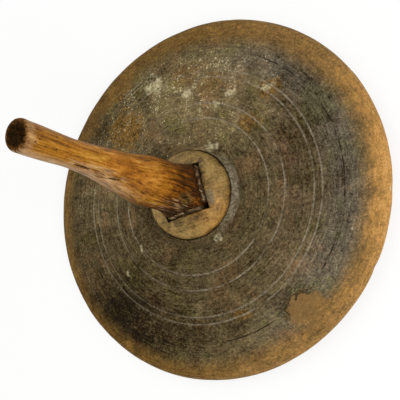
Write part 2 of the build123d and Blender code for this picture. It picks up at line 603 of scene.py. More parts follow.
tenon_edge = (tenon_corner_radius, tenon_foot)
pin_hole_edge = (pin_hole_radius, tenon_foot)
end_round_centre = (post_end_radius - post_end_round, side_top)
side_heights = np.arange(tenon_shoulder, side_top, 0.0019)
side_radii = smooth_line(side_heights, post_heights, post_radii)
post_outline = [(0, pin_hole_top)]
post_outline += line_of_stations([(pin_hole_radius, pin_hole_top), pin_hole_edge], 0.008)
post_outline += line_of_stations([pin_hole_edge, tenon_edge], 0.004)
post_outline += line_of_stations([tenon_edge, (tenon_corner_radius, tenon_shoulder)], 0.0025)
post_outline += list(zip(side_radii, side_heights))
post_outline += arc_of_stations(end_round_centre, post_end_round, 0, 90, end_round_steps)
post_outline += line_of_stations([(end_round_centre[0], post_top), (0, post_top)], 0.0014)[1:]
post_outline.append((0, post_top))
print("post outline has", len(post_outline), "stations")

# %% Spin the post and plane the tenon
post_steps = 208
post = turn("whittled_post", post_outline, post_steps)
for axis, side in ((0, 1), (0, -1), (1, 1), (1, -1)):
    points = points_of(post)
    select_points(post, (side * points[:, axis] > tenon_half) & (points[:, 2] < tenon_flat_top))
    flat = [1, 1, 1]
    flat[axis] = 0
    middle = [0, 0, 0]
    middle[axis] = side * tenon_half
    with edit_mode():
        bpy.ops.transform.resize(value=flat, center_override=middle)
print_size(post)

# %% [markdown]
# ## The post: seats of the wedges, lean, cracks and holes
#
# Two sides of the tenon are cut back where the wedges sit. Then comes what the knife and the years
# did: a bulge to one side, long shallow facets along the grain, a long crack low on one side, short
# checks beside it, worm holes, and a hollow in the end. How deep each point lies in a crack is kept
# as an attribute, because the finish is black there.

# %% Cut the wedge seats
wedge_low, wedge_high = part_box("wedge_right")
wedge_foot = wedge_low[2]
wedge_head = wedge_high[2]
wedge_foot_thickness = 0.0024
wedge_head_thickness = 0.0056
seat_foot = mortise_half - wedge_foot_thickness
seat_head = mortise_half - wedge_head_thickness
seat_heights = [tenon_foot, wedge_foot, tenon_shoulder, 0.080, 0.120]
points = points_of(post)
x, y, z = points.T
seat = np.interp(z, seat_heights, [seat_foot, seat_foot, seat_head, 0.034, 0.060])
x[:] = np.minimum(x, seat)
y[:] = np.maximum(y, -seat)
move_points(post, points)
print_size(post)

# %% Soften the arrises and bend the belly
belly_side = np.array([-0.592, -0.806])
belly_height = 0.172
belly_reach = 0.038
belly_bulge = 0.0020

at_root = fade(z, 0.170, 0.140) * fade(z, 0.060, 0.066)
change_area(post, at_root, "SMOOTH", factor=0.5, iterations=8)
points = points_of(post)
z = points[:, 2]
lean = belly_bulge * np.exp(-(((z - belly_height) / belly_reach) ** 2))
points[:, :2] += lean[:, None] * belly_side
move_points(post, points)
above_tenon = fade(z, 0.066, 0.090) * fade(z, side_top, side_top - 0.006)
weather(post, above_tenon, depth=0.0015, size=0.016, stretch=(1, 1, 5))
print_size(post)

# %% Places of cracks and holes
cracks = [
    ([(0.2790, -43), (0.2690, -42), (0.2578, -39)], 0.0007, 0.0006),
    ([(0.2640, -75), (0.2550, -72), (0.2450, -70)], 0.0013, 0.0018),
    ([(0.2420, -66), (0.2310, -64)], 0.0008, 0.0010),
    ([(0.2300, -68), (0.2240, -71)], 0.0011, 0.0014),
    ([(0.2180, -74), (0.2120, -70), (0.2050, -62)], 0.0013, 0.0018),
    ([(0.2384, -44), (0.2328, -41)], 0.0008, 0.0008),
    ([(0.1900, 20), (0.1560, 24), (0.1250, 21)], 0.0006, 0.0007),
    ([(0.3050, 100), (0.2700, 104), (0.2300, 101), (0.1950, 105)], 0.0008, 0.0014),
    ([(0.2500, 170), (0.2100, 174), (0.1700, 171)], 0.0009, 0.0014),
    ([(0.1450, -78), (0.1200, -74), (0.0950, -77)], 0.0010, 0.0014),
    ([(0.1350, -62), (0.1150, -66), (0.0980, -63)], 0.0007, 0.0010),
]
crack_wander = 0.0006
black_crack_depth = 0.0010
worm_holes = [
    (0.2117, -38), (0.2180, -44), (0.3133, -38), (0.3099, -24), (0.2910, -39), (0.2912, 6), (0.1760, -52),
    (0.2400, 140), (0.1830, 120), (0.2680, -140), (0.1540, -150),
]
worm_hole_radius = 0.0008
worm_hole_depth = 0.0010
end_hollow_depth = 0.0012
end_crack_depth = 0.0012
end_crack_half_width = 0.0006
print("cracks:", len(cracks), "worm holes:", len(worm_holes))

# %% Carve cracks and holes
points = points_of(post)
x, y, z = points.T
from_axis, direction = around_axis(points)
on_side = (from_axis > 0.008) & (z > 0.062) & (z < side_top)
on_end = z > side_top
crack_depth = np.zeros(len(points))
wander = crack_wander * unevenness(points * [0, 0, 1], 0.005, 7.0)
for path, half_width, depth in cracks:
    heights, directions = zip(*sorted(path))
    away = abs(arc_away(direction, np.interp(z, heights, directions), from_axis) + wander)
    taper = fade(z, heights[0] - 0.004, heights[0] + 0.006)
    taper *= fade(z, heights[-1] + 0.004, heights[-1] - 0.006)
    cut = depth * taper * np.clip(1 - away / half_width, 0, 1) * on_side
    crack_depth = np.maximum(crack_depth, cut)
for hole_height, hole_direction in worm_holes:
    away = np.hypot(arc_away(direction, hole_direction, from_axis), z - hole_height)
    cut = worm_hole_depth * fade(away, worm_hole_radius * 1.3, worm_hole_radius * 0.5) * on_side
    crack_depth = np.maximum(crack_depth, cut)
points[:, :2] *= (1 - crack_depth / np.maximum(from_axis, 0.005))[:, None]
hollow = fade(from_axis, 0.0125, 0.004) * (1 + 0.8 * unevenness(points, 0.004, 2.0))
across_end = abs(0.45 * x + 0.89 * y + 0.0012 * unevenness(points, 0.006, 4.0))
end_crack = np.clip(1 - across_end / end_crack_half_width, 0, 1) * fade(from_axis, 0.013, 0.009)
z[on_end] -= (end_hollow_depth * hollow + end_crack_depth * end_crack)[on_end]
move_points(post, points)
keep_as_attribute(post, "crack", np.clip(crack_depth / black_crack_depth, 0, 1) + 0.7 * end_crack * on_end)
smooth_faces(post, degrees=50)
print_size(post)

# %% [markdown]
# ## The wedges: split slips of wood
#
# Two thin slips hold the post tight in the mortise. They are split, not sawn: their faces follow the
# fibres and their heads are crushed and ragged from the hammer. One function makes both from a
# cube that is cut into small faces, because they differ only in their side, their stretch and
# their fibres.

# %% Helper for a split slip
slip_cuts = 44
slip_lean = 0.0010
slip_play = 0.0002
slip_thinning = 0.0003


def split_slip(name, node, turn_degrees, stretch, start):
    """A ragged wedge on the +X side of the tenon, turned to its own side. stretch is its Y range."""
    slip = new_piece(name, bpy.ops.mesh.primitive_cube_add, size=1)
    size = (wedge_head_thickness, stretch[1] - stretch[0], wedge_head - wedge_foot)
    middle = (mortise_half - wedge_head_thickness / 2, sum(stretch) / 2, (wedge_head + wedge_foot) / 2)
    with edit_mode():
        bpy.ops.transform.resize(value=size)
        bpy.ops.transform.translate(value=middle)
        bpy.ops.mesh.subdivide(number_cuts=slip_cuts)
    points = points_of(slip)
    x, z = points[:, 0], points[:, 2]
    part_up = (z - wedge_foot) / (wedge_head - wedge_foot)
    thickness = np.interp(z, seat_heights[1:3], [wedge_foot_thickness, wedge_head_thickness])
    inwards = (mortise_half - x) / wedge_head_thickness
    x[:] = mortise_half - slip_play - inwards * (thickness - slip_thinning)
    fibre = unevenness(points * [1, 1, 0], 0.0050, start)
    splinter = unevenness(points * [1.5, 1, 0.12], 0.0017, start + 11)
    head = fade(part_up, 0.70, 1.0)
    z -= head * (0.0034 * (0.45 + fibre) + 0.0030 * splinter).clip(0, None)
    z -= head * 0.0030 * inwards
    x -= head * fade(inwards, 0.9, 0.0) * (slip_lean + 0.0009 * abs(splinter))
    move_points(slip, points)
    slip.rotation_euler[2] = math.radians(turn_degrees)
    bpy.ops.object.transform_apply(location=False, rotation=True, scale=False)
    smooth_faces(slip, degrees=35)
    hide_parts(node)
    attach(slip, "post")
    print_size(slip)
    return slip


# %% Make the two slips
slip_start, slip_end = -0.021, 0.027
right_slip = split_slip("split_slip_right", "wedge_right", 0, (slip_start, slip_end), 1.0)
front_slip = split_slip("split_slip_front", "wedge_front", -90, (-slip_end, -slip_start), 4.0)

# %% [markdown]
# ## Building finishes from nodes
#
# Every finish is a tree of shader nodes that reads the place on the object, so it stays put when the
# piece moves and needs no picture. A formula is easier to read than a chain of nodes. So a Value stands
# for what comes out of a node, and a sum or product of values adds the node that works it out. Old wood
# is never one colour with spots on it: its tone sways up and down at every scale. So most finishes here
# first work out one value and then turn it into a colour by a ramp.

# %% Values and nodes
trees = []


def open_tree(tree):
    """Empties a tree of nodes. From now on, new nodes go into this one."""
    tree.nodes.clear()
    trees.append(tree)


class Value:
    """What comes out of a node: a number, a vector, a colour or a shader."""

    def __init__(self, socket):
        self.socket = socket

    def __add__(self, other):
        return maths("ADD", self, other)

    def __sub__(self, other):
        return maths("SUBTRACT", self, other)

    def __rsub__(self, other):
        return maths("SUBTRACT", other, self)

    def __mul__(self, other):
        return maths("MULTIPLY", self, other)

    def __truediv__(self, other):
        return maths("DIVIDE", self, other)

    def __abs__(self):
        return maths("ABSOLUTE", self)

    __radd__ = __add__
    __rmul__ = __mul__


def feed(socket, value):
    """Links a socket to a Value, or sets it to plain numbers."""
    if isinstance(value, Value):
        trees[-1].links.new(value.socket, socket)
    elif socket.type == "RGBA":
        socket.default_value = (*value[:3], 1)
    else:
        socket.default_value = value


def add(kind, inputs=(), output=0, **settings):
    """Adds a node and gives one of its outputs. Inputs are in order, or in a dictionary by name."""
    node = trees[-1].nodes.new("ShaderNode" + kind)
    for name, value in settings.items():
        setattr(node, name, value)
    by_key = inputs if isinstance(inputs, dict) else dict(enumerate(inputs))
    for key, value in by_key.items():
        feed(node.inputs[key], value)
    return Value(node.outputs[output]) if len(node.outputs) else None


def is_vector(value):
    """Tells vectors from single numbers."""
    return isinstance(value, tuple) or (isinstance(value, Value) and value.socket.type == "VECTOR")


def maths(operation, *values):
    """One step of arithmetic, with vectors if one of the values is a vector."""
    if not any(is_vector(value) for value in values):
        return add("Math", values, operation=operation)
    output = "Value" if operation in ("LENGTH", "DOT_PRODUCT") else "Vector"
    return add("VectorMath", values, output, operation=operation)


# %% Helpers for values and colours
mix_colour_inputs = (6, 7)
mix_colour_output = 2


def maximum(first, second):
    """The larger of two values."""
    return maths("MAXIMUM", first, second)


def length(vector):
    """The length of a vector."""
    return maths("LENGTH", vector)


def dot(first, second):
    """How far two directions agree: 1 if they are the same, 0 if they are square to each other."""
    return maths("DOT_PRODUCT", first, second)


def split(vector):
    """The x, y and z of a vector."""
    return [Value(socket) for socket in add("SeparateXYZ", [vector]).socket.node.outputs]


def join(x, y, z):
    """The vector with this x, y and z."""
    return add("CombineXYZ", [x, y, z])


def attribute(name):
    """A number that was stored on the points of the piece."""
    return add("Attribute", output="Fac", attribute_name=name)


def mask(value, zero_at, one_at, most=1.0):
    """Fades from 0 to most as value goes from zero_at to one_at."""
    return add("MapRange", (value, zero_at, one_at, 0.0, most), interpolation_type="SMOOTHSTEP")


def cloud(vector, scale, detail=3.0, rough=0.55):
    """Noise from 0 to 1 at a vector."""
    return add("TexNoise", {"Vector": vector, "Scale": scale, "Detail": detail, "Roughness": rough})


def sway(base, *parts):
    """A value that noise pushes up and down. parts holds (noise, strength), noise being from 0 to 1."""
    for noise_value, strength in parts:
        base = maths("MULTIPLY_ADD", noise_value - 0.5, strength, base)
    return base


def blend(share, under, over, how="MIX"):
    """One colour over another. A Mix node has sockets for every kind of data, so colours go by number."""
    inputs = {"Factor": share, mix_colour_inputs[0]: under, mix_colour_inputs[1]: over}
    return add("Mix", inputs, mix_colour_output, data_type="RGBA", blend_type=how)


def tint(share, colour, factors):
    """A colour whose red, green and blue are multiplied by factors."""
    return blend(share, colour, factors, "MULTIPLY")


def tone(red, green, blue):
    """A colour in the 0 to 255 values of a screen, as the linear values that shaders use."""
    return tuple(((part / 255 + 0.055) / 1.055) ** 2.4 for part in (red, green, blue))


def ramp(value, stops):
    """A colour that follows a value from 0 to 1. stops holds (value, screen colour), from low to high."""
    colour = add("ValToRGB", [value])
    elements = colour.socket.node.color_ramp.elements
    for element, (position, screen) in zip((elements[0], elements[-1]), (stops[0], stops[-1])):
        element.position = position
        element.color = (*tone(*screen), 1)
    for position, screen in stops[1:-1]:
        elements.new(position).color = (*tone(*screen), 1)
    return colour


# %% [markdown]
# ## Effects that several finishes share
#
# Wood grain, ragged patches and dried clay specks turn up on nearly every piece. Each is a node group
# with named inputs, built once. The grain is made of fibres, drawn out along Z, and of growth rings
# round a heart that lies beside the piece. A patch is an oval whose edge is broken up by noise. Specks
# are the peaks of a fine noise: the more cover, the lower the level above which they show.

# %% Helpers for node groups
def start_group(name, **takes):
    """Opens a new node group that takes these inputs. Gives the group and a Value per input."""
    group = bpy.data.node_groups.new(name, "ShaderNodeTree")
    for input_name, default in takes.items():
        kind = "NodeSocketVector" if isinstance(default, tuple) else "NodeSocketFloat"
        group.interface.new_socket(input_name, in_out="INPUT", socket_type=kind).default_value = default
    group.interface.new_socket("share", in_out="OUTPUT", socket_type="NodeSocketFloat")
    open_tree(group)
    inputs = group.nodes.new("NodeGroupInput").outputs
    return group, [Value(inputs[input_name]) for input_name in takes]


def end_group(value):
    """Makes value what the group opened last gives."""
    feed(trees[-1].nodes.new("NodeGroupOutput").inputs["share"], value)
    print("group:", trees[-1].name)


# %% Group: wood grain
origin = (0, 0, 0)
wood_grain, inputs = start_group("wood_grain", place=origin, heart=origin, fibres=420.0, ring_width=0.004)
place, heart, fibre_scale, ring_width = inputs
drawn_out = place * (1, 1, 0.035)
fibres = cloud(drawn_out, fibre_scale, 4.0, 0.65)
streaks = cloud(drawn_out, 0.25 * fibre_scale)
wander = cloud(place, 14.0, 2.0)
ring_number = length((place - heart) * (1, 1, 0.05)) / ring_width + 2.5 * wander
ring_wave = maths("SINE", 2 * math.pi * ring_number)
pores = mask(cloud(place * (1, 1, 0.1), 1300.0, 2.0), 0.62, 0.72)
end_group(sway(0.5, (fibres, 1.1), (streaks, 1.0)) + 0.04 * ring_wave - 0.25 * pores)

# %% Group: ragged patch
ragged_patch, inputs = start_group(
    "ragged_patch", place=origin, middle=origin, half_size=(0.02, 0.02, 0.02), ragged=0.8, soft=0.3
)
place, middle, half_size, ragged, soft = inputs
broken = cloud(place, 90.0, 4.0, 0.65) - 0.5
edge = length((place - middle) / half_size) + 2.0 * ragged * broken
end_group(mask(edge, 1.0 + soft, 1.0 - soft))

# %% Group: clay specks
clay_specks, inputs = start_group("clay_specks", place=origin, fineness=400.0, cover=0.3)
place, fineness, cover = inputs
level = 0.80 - 0.26 * cover
end_group(mask(cloud(place, fineness, 2.5, 0.6), level, level + 0.06))


# %% [markdown]
# ## One start and one end for every finish
#
# All finishes begin with the place on the object and end in one Principled shader with a bump. So a
# finish is a recipe: a function that gets the place and says what lies between. The three groups get
# short names as well.

# %% Helpers for finishes
def make_finish(recipe):
    """A material named after its recipe, which gets the place on the object and ends with surface."""
    finish = bpy.data.materials.new(recipe.__name__)
    finish.use_nodes = True
    open_tree(finish.node_tree)
    recipe(add("TexCoord", output="Object"))
    print("finish:", finish.name, "with", len(finish.node_tree.nodes), "nodes")
    return finish


def surface(colour, roughness, height, bump_distance, metallic=0.0, specular=0.25):
    """Ends a recipe with its colour, its roughness and a bump. The height is in units of bump_distance."""
    inputs = {
        "Base Color": colour,
        "Roughness": roughness,
        "Metallic": metallic,
        "Specular IOR Level": specular,
        "Normal": add("Bump", {"Height": height, "Distance": bump_distance, "Strength": 1.0}),
    }
    add("OutputMaterial", {"Surface": add("BsdfPrincipled", inputs)})


def wood(place, heart, fibres, ring_width=0.004):
    """The shade of wood grain along Z."""
    return add("Group", (place, heart, fibres, ring_width), node_tree=wood_grain)


def patch(place, middle, half_size, ragged=0.8, soft=0.3):
    """1 inside an oval with a ragged edge and 0 outside."""
    return add("Group", (place, middle, half_size, ragged, soft), node_tree=ragged_patch)


def specks(place, fineness, cover):
    """1 on the specks and 0 between them."""
    return add("Group", (place, fineness, cover), node_tree=clay_specks)


# %% [markdown]
# ## The finish of the disc
#
# The disc is the largest surface and the richest: olive-brown patina with clay rubbed in, nearly black
# where water stood, rubbed through to orange wood along the rim, cream specks of slip over one half,
# clay dried in the scratched rings, and fine marks that all run round the axis. Painted light is laid in
# too: the rim is paler on its lit right side and darker on the left, the collar is grey only on its lit
# side as a painted highlight, and painted shade lies at the collar's foot and in the crease by the hub.
# The marks that run round come from noise that reads the direction and the way across the rim instead
# of X and Y. Stains, films and patches have places of their own: each is a middle, a half size and a
# share.

# %% Colours and places of the disc
patina_tones = [
    (0.00, (24, 16, 6)), (0.20, (54, 43, 22)), (0.40, (84, 72, 48)),
    (0.60, (110, 95, 64)), (0.80, (138, 120, 82)), (1.00, (184, 166, 120)),
]
bare_tones = [
    (0.00, (56, 40, 17)), (0.25, (98, 74, 39)), (0.50, (128, 98, 56)),
    (0.75, (168, 124, 66)), (1.00, (200, 150, 88)),
]
clay_tones = [(0.00, (54, 47, 36)), (0.35, (92, 84, 68)), (0.60, (130, 119, 98)), (1.00, (192, 182, 156))]
dry_clay = tone(212, 200, 158)
slip_film = tone(134, 118, 90)
grease = tone(58, 40, 22)
# Dark stain colour, also used for painted shade at the collar.
dark_stain_and_shade = tone(40, 32, 18)
crack_black = tone(24, 18, 11)
chipped_pale = tone(204, 176, 134)
cool_tint = (0.99, 1.11, 1.66)
plum_tint = (1.04, 0.97, 1.18)
red_tint = (1.14, 0.96, 0.92)
olive_tint = (0.96, 1.05, 0.80)
ochre_tint = (0.88, 0.98, 0.72)
rust_tint = (0.97, 0.92, 0.62)

dark_stains = [
    ((-0.150, -0.130), (0.062, 0.052), 0.17),
    ((-0.130, -0.150), (0.085, 0.040), 0.11),
    ((-0.060, -0.186), (0.080, 0.022), 0.12),
    ((-0.045, 0.062), (0.030, 0.020), 0.16),
    ((-0.038, 0.160), (0.020, 0.016), 0.20),
    ((-0.012, 0.194), (0.018, 0.006), 0.18),
    ((-0.066, 0.183), (0.018, 0.011), 0.15),
    ((-0.130, 0.140), (0.026, 0.030), 0.14),
    ((0.175, 0.095), (0.032, 0.050), 0.12),
    ((0.020, -0.180), (0.016, 0.014), 0.16),
    ((0.086, -0.172), (0.009, 0.013), 0.14),
    ((0.106, -0.157), (0.019, 0.006), 0.10),
    ((-0.075, 0.015), (0.024, 0.030), 0.10),
    ((-0.030, 0.100), (0.036, 0.026), 0.12),
    ((-0.095, 0.165), (0.030, 0.030), 0.10),
    ((-0.060, -0.060), (0.034, 0.030), 0.09),
    ((0.150, 0.010), (0.022, 0.034), 0.10),
]
pale_films = [
    ((0.050, -0.192), (0.052, 0.026), 0.12),
    ((0.142, -0.135), (0.040, 0.040), 0.13),
    ((0.100, -0.140), (0.030, 0.020), 0.08),
]
rubbed_patches = [
    ((-0.084, 0.136), (0.031, 0.029), 0.95),
    ((0.137, -0.190), (0.024, 0.017), 0.70),
    ((0.103, 0.067), (0.014, 0.013), 0.60),
    ((0.140, 0.098), (0.014, 0.011), 0.75),
    ((0.066, 0.142), (0.022, 0.013), 0.45),
    ((0.030, 0.172), (0.022, 0.016), 0.45),
    ((-0.090, 0.200), (0.034, 0.016), 0.55),
    ((-0.150, 0.168), (0.020, 0.018), 0.45),
    ((0.030, -0.172), (0.012, 0.007), 0.45),
]
splashes = [
    ((0.020, 0.135), (0.100, 0.065), 0.17),
    ((0.058, 0.172), (0.048, 0.028), 0.09),
]
print("stains:", len(dark_stains), "films:", len(pale_films), "rubbed patches:", len(rubbed_patches))

# %% [markdown]
# The disc's finish is long, so it comes in layers, and each layer is a function of its own. All of them
# need to know where they are on the disc: how far from the axis and in which direction. The way across
# the rim runs on over its rounded edge, so that marks aren't smeared down the side.

# %% Places on the disc
edge_fall = 1.6
wet_direction = (-0.72, -0.694, 0)


def disc_places(place):
    """The places and the noises that the layers of the disc read."""
    at = SimpleNamespace(whole=place, flat=place * (1, 1, 0))
    at.x, at.y, at.z = split(place)
    at.radius = length(at.flat)
    at.facing = maths("NORMALIZE", at.flat)
    over_edge = at.radius - edge_fall * at.z

    def marks(along, across, detail, rough):
        """Noise drawn out round the axis: a larger number makes shorter or narrower marks."""
        return cloud(at.facing * (along, along, 0) + join(0, 0, across * over_edge), 1.0, detail, rough)

    at.wet_side = dot(at.facing, wet_direction)
    at.broad = cloud(place, 13.0, 5.0, 0.6)
    at.blots = cloud(place, 55.0, 4.0, 0.65)
    at.mottling = cloud(place, 270.0, 3.0, 0.65)
    at.grit = cloud(place, 640.0, 2.0, 0.6)
    at.round_marks = marks(14.0, 430.0, 3.0, 0.65)
    at.scratches = marks(3.0, 800.0, 2.0, 0.6)
    at.rim_streaks = marks(13.0, 220.0, 4.0, 0.70)
    return at


def disc_patch(at, middle, half_size, **edge):
    """A ragged patch anywhere on the height of the disc."""
    return patch(at.flat, (*middle, 0), (*half_size, 1), **edge)


def soft_patches(at, spots):
    """The shares of several patches with soft edges, added up."""
    return sum(share * disc_patch(at, middle, half_size, soft=0.8) for middle, half_size, share in spots)


# %% Layer: patina and stains
def patina_layer(at):
    """Olive-brown patina, lighter where slip was splashed and nearly black where water stood."""
    at.dusted = mask(sway(at.y - 0.15 * at.x, (at.blots, 0.14)), -0.01, 0.13)
    value = 0.39 + 0.21 * at.dusted * (1.0 - mask(at.radius, 0.165, 0.208, 0.5))
    value = value - mask(at.x, -0.06, -0.20, 0.10)
    value = value + mask(at.radius, 0.195, 0.215) * mask(at.x, 0.02, 0.15, 0.06)
    value = value - soft_patches(at, dark_stains) + soft_patches(at, pale_films)
    value = sway(value, (at.broad, 0.20), (at.blots, 0.56), (at.mottling, 0.80))
    value = sway(value, (at.grit, 0.85), (at.round_marks, 0.62), (at.scratches, 0.40))
    cool = mask(at.radius, 0.165, 0.195) * mask(at.x, 0.00, 0.15, 0.85) * mask(at.y, 0.20, 0.13)
    colour = tint(cool, ramp(value, patina_tones), cool_tint)
    plum = mask(at.radius, 0.095, 0.140) * mask(at.radius, 0.190, 0.170)
    plum = plum * mask(at.x, 0.02, 0.12, 0.7) * mask(at.blots, 0.35, 0.60)
    colour = tint(plum, colour, plum_tint)
    hue = cloud(at.whole, 24.0, 3.0, 0.6)
    colour = tint(mask(hue, 0.52, 0.66, 0.8), colour, red_tint)
    return tint(mask(hue, 0.48, 0.34, 0.8), colour, olive_tint)


# %% Layer: bare wood
wide_rim_side = (0.259, 0.966, 0)


def bare_wood_layer(at, colour):
    """Patches rubbed through to the wood, and the rim, paler on the lit right side and darker on the left:
    partly worn wood, partly painted light.
    """
    dapple = sway(0.34, (at.mottling, 1.5), (at.grit, 1.2), (at.blots, 0.7))
    rubbed = tint(1.0, ramp(dapple, bare_tones), rust_tint)
    for middle, half_size, share in rubbed_patches:
        colour = blend(share * disc_patch(at, middle, half_size, ragged=1.2), colour, rubbed)
    flake = disc_patch(at, flake_place, flake_half_size, soft=0.25)
    flake_value = sway(0.49, (at.blots, 0.45), (at.mottling, 0.35), (at.grit, 0.40))
    colour = blend(0.9 * flake, colour, ramp(flake_value, bare_tones))
    flake_edge = mask(4.0 * flake * (1.0 - flake), 0.5, 1.0, 0.8) * mask(at.radius, 0.212, 0.200)
    colour = blend(flake_edge, colour, dark_stain_and_shade)
    reach = at.radius + mask(dot(at.facing, wide_rim_side), 0.30, 0.75, 0.008)
    reach = reach - mask(at.wet_side, 0.50, 0.90, 0.005)
    reach = sway(reach, (at.blots, 0.010), (at.broad, 0.008))
    at.rim = mask(reach, 0.2110, 0.2360)
    # Paleness of the rim by direction: partly wear, partly painted light.
    bareness_and_light = attribute("bareness_and_light")
    drop = mask(reach, 0.2460, 0.2180) * mask(bareness_and_light, 0.25, 0.80, 0.34)
    value = sway(bareness_and_light - drop, (at.rim_streaks, 0.85), (at.blots, 0.45), (at.broad, 0.30))
    value = sway(value, (at.mottling, 0.70), (at.grit, 0.80))
    rim_colour = tint(mask(bareness_and_light, 0.50, 0.22), ramp(value, bare_tones), rust_tint)
    return blend(at.rim, colour, rim_colour)


# %% Layer: clay
ring_shares = (0.75, 0.75, 0.60, 0.70)
rings_worn_side = (-0.50, 0.866, 0)
collar_lit_side = (0.985, -0.174, 0)
short_scratches = [(0.1945, 106), (0.2005, 107)]
scratch_half_angle = 7


def clay_layer(at, colour):
    """Grey collar, partly clay and partly a painted highlight on its lit side, painted shade at its foot and
    in the crease by the hub, clay in the rings, specks and lumps. at.clay keeps where clay lies.
    """
    clay = ramp(sway(0.56, (at.mottling, 1.2), (at.grit, 0.9)), clay_tones)
    # Grey clay on the collar, laid only on its lit side, so it is partly clay and partly a painted
    # highlight.
    lit_side = dot(at.facing, collar_lit_side)
    collar_clay_and_highlight = mask(at.radius, 0.0722, 0.0672) * mask(lit_side, 0.30, 1.00, 0.72)
    colour = blend(collar_clay_and_highlight * mask(at.blots, 0.34, 0.56), colour, clay)
    # Painted shade at the foot of the collar and in the crease beside the hub, in a dark stain colour.
    painted_foot_shade = mask(at.radius, 0.0780, 0.0715, 0.3) * mask(at.radius, 0.0690, 0.0705)
    painted_crease_shade = mask(at.radius, 0.0636, 0.0620, 0.4)
    colour = blend(painted_crease_shade + painted_foot_shade, colour, dark_stain_and_shade)
    kept = 1.0 - mask(dot(at.facing, rings_worn_side), 0.55, 0.95, 0.65)
    kept = kept - mask(at.wet_side, 0.70, 0.97, 0.55)
    rings = 0.0
    for ring, share in zip(ring_radii, ring_shares):
        own_noise = cloud(at.facing + (0, 0, 40 * ring), 4.0, 5.0, 0.7)
        filled = mask(own_noise, 0.32, 0.56, share) * kept
        rings = maximum(rings, filled * mask(abs(at.radius - ring), 0.0016, 0.0004))
    for scratch_radius, degrees in short_scratches:
        angle = math.radians(degrees)
        aligned = dot(at.facing, (math.cos(angle), math.sin(angle), 0))
        stretch = mask(aligned, math.cos(math.radians(scratch_half_angle)), 1.0, 0.6)
        rings = maximum(rings, stretch * mask(abs(at.radius - scratch_radius), 0.0013, 0.0004))
    rings = rings * mask(at.z, 0.018, 0.022) * mask(at.grit, 0.22, 0.50)
    colour = blend(rings, colour, ramp(sway(0.70, (at.mottling, 0.9)), clay_tones))
    cover = sway(0.20 + 0.28 * at.dusted, (at.blots, 1.3)) + soft_patches(at, splashes)
    cover = (cover + mask(at.x, -0.03, -0.10, 0.08)) * mask(at.radius, 0.232, 0.200)
    fine = specks(at.whole, 430.0, 1.10 * cover)
    dabs = specks(at.whole, 250.0, 0.80 * cover)
    lumps = attribute("clay_lump") * mask(at.mottling, 0.26, 0.74)
    at.clay = maximum(maximum(0.74 * fine, 0.96 * dabs), lumps)
    colour = blend(0.92 * at.clay, colour, dry_clay)
    colour = blend(attribute("chipped"), colour, chipped_pale)
    return blend(mask(attribute("open_crack"), 0.12, 0.70, 0.90), colour, crack_black)


# %% Layer: the underside
def underside_layer(at):
    """Plain wood with its grain along X, a film of slip, and dark scuffs from the ground near the rim."""
    grain = wood(join(at.y, at.z, at.x), (0.02, 0.15, 0), 260.0, 0.006)
    value = sway(0.46, (grain, 0.75), (at.blots, 0.5), (at.mottling, 0.4))
    value = value - mask(at.radius, 0.190, 0.235, 0.12)
    filmed = mask(sway(at.broad, (at.blots, 0.5)), 0.46, 0.64, 0.55)
    return blend(filmed, ramp(value, patina_tones), slip_film)


# %% The disc's finish
def clay_stained_wood(place):
    """The disc: its layers one over the other, and grease in the seat and the bore."""
    at = disc_places(place)
    colour = patina_layer(at)
    colour = bare_wood_layer(at, colour)
    colour = clay_layer(at, colour)
    colour = blend(mask(at.z, 0.0030, 0.0005), colour, underside_layer(at))
    inside = mask(at.radius, 0.0622, 0.0612) * mask(at.z, 0.0010, 0.0025)
    colour = blend(inside * mask(at.z, 0.0345, 0.0300, 0.85), colour, grease)
    roughness = 0.70 - 0.16 * at.rim + 0.25 * at.clay
    height = 0.5 * at.round_marks + 0.6 * at.mottling + 0.25 * at.grit + 0.7 * at.clay
    surface(colour, roughness, height, 0.0006, specular=0.04)


disc.data.materials.append(make_finish(clay_stained_wood))
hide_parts("wheel_disc")
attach(disc, "wheel")

# %% [markdown]
# ## The finish of the hub
#
# The hub is a paler wood, rubbed smooth, with its grain lying along X. It is orange where it was
# polished most, and that patch on the lamp side also carries a painted highlight. It is dark with short
# open fibres on the near side of the mortise, and has painted shade round the mouth of the mortise, on
# its far side, in the crease at the collar and on its right edge. Inside the mortise the wood is painted
# dark as shade.

# %% The hub's finish
hub_tones = [
    (0.00, (44, 30, 14)), (0.25, (98, 75, 35)), (0.50, (142, 114, 61)),
    (0.75, (168, 138, 81)), (1.00, (196, 166, 112)),
]
hub_smudge = tone(98, 94, 80)
polish_and_highlight_tint = (1.16, 0.96, 0.72)
painted_mortise_shade = tone(22, 14, 8)


